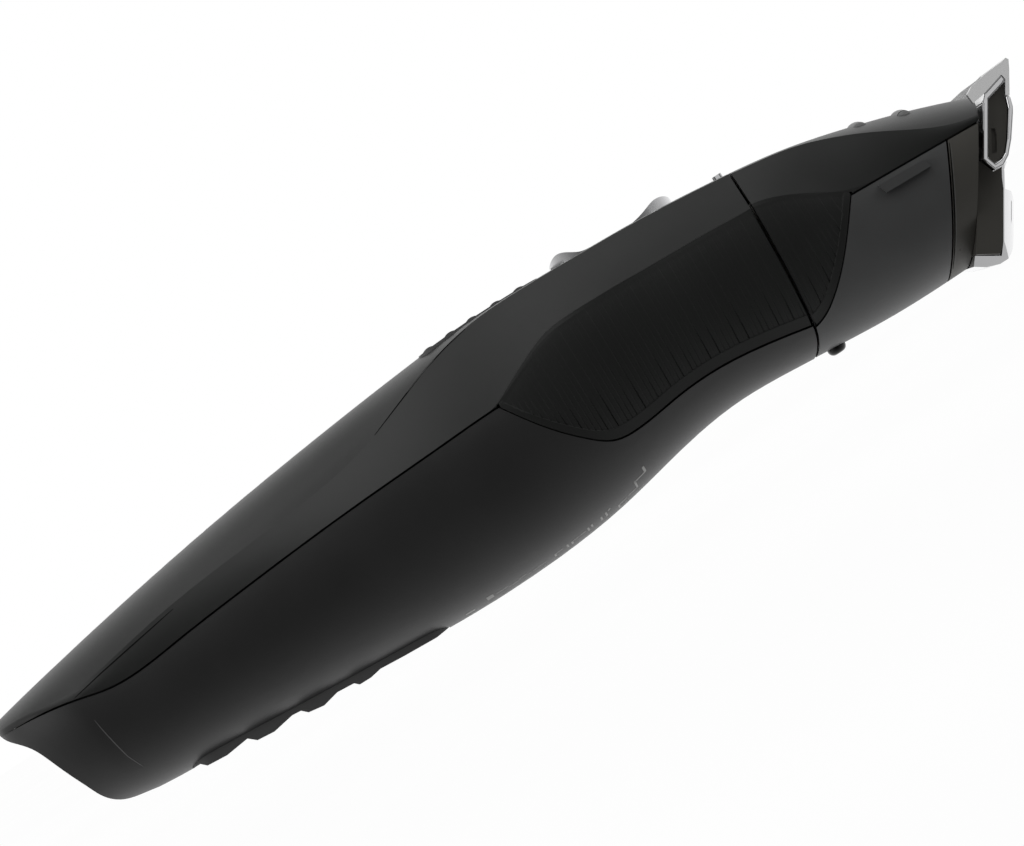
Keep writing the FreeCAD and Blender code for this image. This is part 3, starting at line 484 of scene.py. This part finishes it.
SLOT = [(2.85, 1.45), (6.55, 1.35), (6.55, 1.95), (5.6, 2.2), (3.15, 2.25)]
guard_step("guard_slot_back", [blade_point(u, v) for u, v in SLOT], 14.76, 15.15)


def thumb_ridge(name, x, half=7.6, radius=1.25, proud=0.48):
    """A rounded bar across the front of the head that follows its crown."""
    tree = surface_of("head_front_cover")
    down = Vector((0, 0, -1))
    beside = 2.6                          # the cover is measured this far either side of the bar
    verts, faces = [], []
    rings, spokes = 25, 24
    for i in range(rings):
        y = -half + 2 * half * i / (rings - 1)
        before, _, _, _ = tree.ray_cast(Vector((x - beside - MIDDLE_X, y, 60)) * MM, down)
        after, _, _, _ = tree.ray_cast(Vector((x + beside - MIDDLE_X, y, 60)) * MM, down)
        middle = (before.z + after.z) / 2 / MM + proud - radius
        end = min(1.0, half - abs(y))
        r = radius * math.sqrt(max(0.01, 1 - (1 - end) ** 2))
        for j in range(spokes):
            turn = 2 * math.pi * j / spokes
            verts.append(Vector((x - MIDDLE_X + r * math.cos(turn), y, middle + r * math.sin(turn))) * MM)
    for i in range(rings - 1):
        for j in range(spokes):
            a, b = i * spokes + j, i * spokes + (j + 1) % spokes
            faces.append((a, b, b + spokes, a + spokes))
    faces += [tuple(reversed(range(spokes))), tuple(range((rings - 1) * spokes, rings * spokes))]
    # The ridges take the light pad grey, a painted highlight on the dark cover.
    piece = add_object(name, verts, faces, LOOKS["soft_pad"])
    for face in piece.data.polygons:
        face.use_smooth = True
    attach(piece, "head")


thumb_ridge("head_ridge_near", 150.9)
thumb_ridge("head_ridge_far", 157.1)


# ---------------------------------------------------------------- studio
WORLD_FRONT = 0.02        # how bright the surroundings are on the camera's side
WORLD_BACK = 1.0          # and behind the object

# name, place in m, size in m, power in W, whether only the bright metal parts get it
LAMPS = [
    ("top", (-0.1, -0.15, 0.7), 0.5, 0.8, False),
    ("left", (-0.7, -0.3, 0.3), 0.4, 0.6, False),
    ("right", (0.6, -0.35, 0.35), 0.4, 0.5, False),
    ("metal_front", (0.12, -0.75, 0.1), 0.55, 0.5, True),
    ("metal_side", (0.7, -0.25, 0.25), 0.35, 0.5, True),
]


def make_floor():
    """A wide plain floor, white for the camera only."""
    half = 6.0
    corners = [(-half, -half, 0), (half, -half, 0), (half, half, 0), (-half, half, 0)]
    mesh = bpy.data.meshes.new("floor")
    mesh.from_pydata(corners, [], [(0, 1, 2, 3)])
    floor = bpy.data.objects.new("floor", mesh)
    bpy.context.collection.objects.link(floor)
    mat, tree, shader = new_material("floor_white")
    grain = noise(tree, 8.0)
    tree.links.new(shade(tree, grain.outputs["Fac"], (0.97, 0.97, 0.97), (1.0, 1.0, 1.0)),
                   shader.inputs["Emission Color"])
    shader.inputs["Emission Strength"].default_value = 1.0
    shader.inputs["Base Color"].default_value = (0, 0, 0, 1)
    shader.inputs["Roughness"].default_value = 0.9
    shader.inputs["Specular IOR Level"].default_value = 0.0
    mesh.materials.append(mat)
    floor.visible_diffuse = False
    floor.visible_glossy = False


def make_world():
    """White for the camera; as light, dim on the camera's side and bright behind, like a backdrop."""
    world = bpy.data.worlds.new("studio")
    world.use_nodes = True
    tree = world.node_tree
    nodes = tree.nodes
    output = nodes["World Output"]
    lit = nodes["Background"]
    coords = nodes.new("ShaderNodeTexCoord")
    parts = nodes.new("ShaderNodeSeparateXYZ")
    link(tree, coords, "Generated", parts, "Vector")
    ramp = nodes.new("ShaderNodeMapRange")
    ramp.inputs["From Min"].default_value = -1.0
    ramp.inputs["From Max"].default_value = 1.0
    ramp.inputs["To Min"].default_value = WORLD_FRONT
    ramp.inputs["To Max"].default_value = WORLD_BACK
    link(tree, parts, "Y", ramp, "Value")
    link(tree, ramp, "Result", lit, "Strength")
    lit.inputs["Color"].default_value = (1, 1, 1, 1)
    seen = nodes.new("ShaderNodeBackground")
    seen.inputs["Strength"].default_value = 1.0
    seen.inputs["Color"].default_value = (1, 1, 1, 1)
    path = nodes.new("ShaderNodeLightPath")
    mix = nodes.new("ShaderNodeMixShader")
    link(tree, path, "Is Camera Ray", mix, "Fac")
    tree.links.new(lit.outputs["Background"], mix.inputs[1])
    tree.links.new(seen.outputs["Background"], mix.inputs[2])
    link(tree, mix, "Shader", output, "Surface")
    bpy.context.scene.world = world


def make_lights():
    """Soft lamps that shape the plastic, and two that only bright metal shows."""
    shiny = {"chrome", "blade_steel"}
    bright = bpy.data.collections.new("bright_metal")
    for node, obj in frame["nodes"].items():
        if slot_of[node] in shiny:
            bright.objects.link(obj)
    for name, place, size, power, only in LAMPS:
        data = bpy.data.lights.new(name, "AREA")
        data.size = size
        data.energy = power
        lamp = bpy.data.objects.new(name, data)
        bpy.context.collection.objects.link(lamp)
        lamp.location = place
        way = Vector((0, 0, 0.02)) - Vector(place)
        lamp.rotation_euler = way.to_track_quat("-Z", "Y").to_euler()
        if only:
            lamp.light_linking.receiver_collection = bright


make_world()
make_floor()
make_lights()
bpy.context.scene.view_settings.view_transform = "Standard"
bpy.context.scene.view_settings.look = "None"
